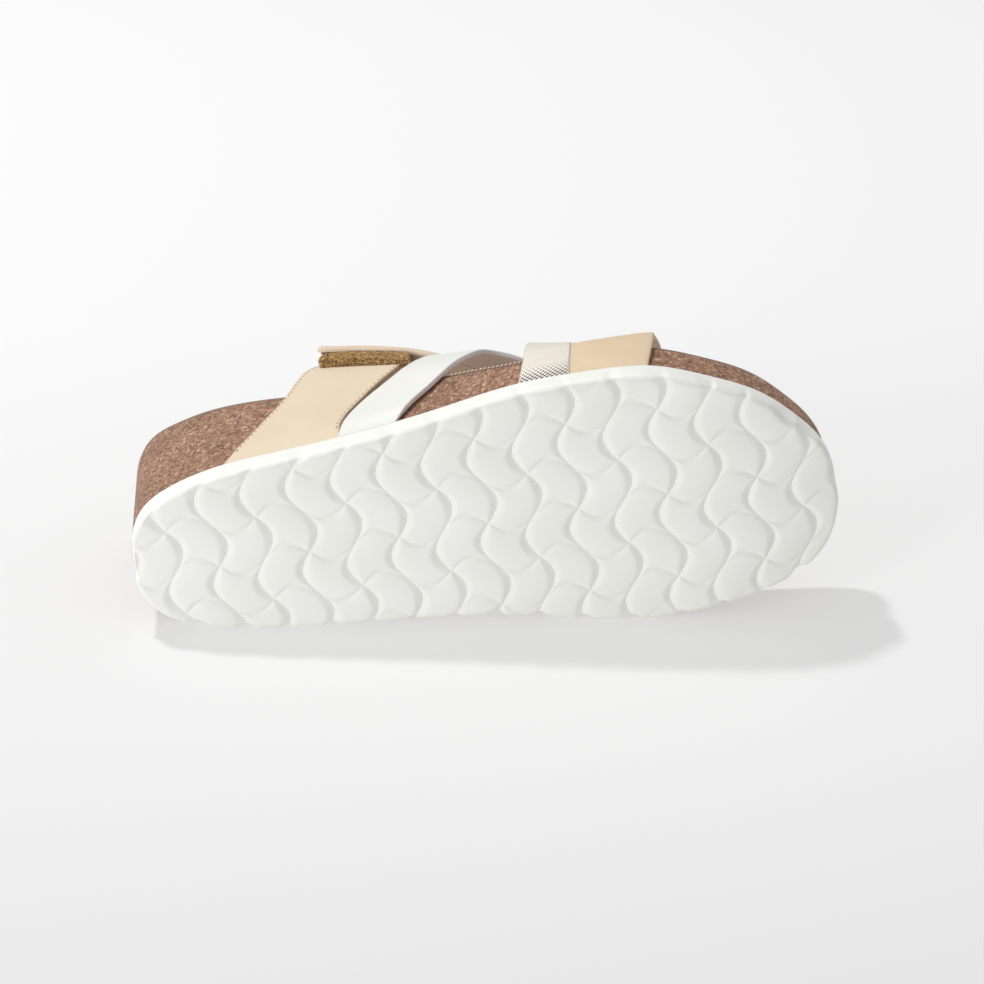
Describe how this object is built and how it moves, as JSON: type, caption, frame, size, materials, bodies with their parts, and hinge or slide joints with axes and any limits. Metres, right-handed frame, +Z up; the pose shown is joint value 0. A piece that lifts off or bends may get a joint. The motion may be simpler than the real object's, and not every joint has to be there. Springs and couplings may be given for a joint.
{
  "type": "strap mule",
  "caption": "Backless strap mule with a wave-tread foam outsole, a cork wedge footbed and crossing leather straps, closed over the instep by a hook-and-loop strap.",
  "frame": {"origin": "middle of the floor side of the box around the shoe as it lies on its medial side", "axes": "+X from heel to toe, +Y from the tread towards the foot, +Z up from the floor, towards the shoe's lateral side"},
  "size_m": [0.2554, 0.0976, 0.1025],
  "materials": {
    "outsole": "matte",
    "footbed": "matte",
    "insole": "matte",
    "upper": "satin",
    "closing_strap": "satin",
    "loop_tape": "matte",
    "hook_tape": "matte"
  },
  "bodies": {
    "root": {"outsole": "outsole", "footbed": "footbed", "insole": "insole", "upper": "upper", "closing_strap": "closing_strap", "loop_tape": "loop_tape", "hook_tape": "hook_tape"}
  },
  "joints": []
}
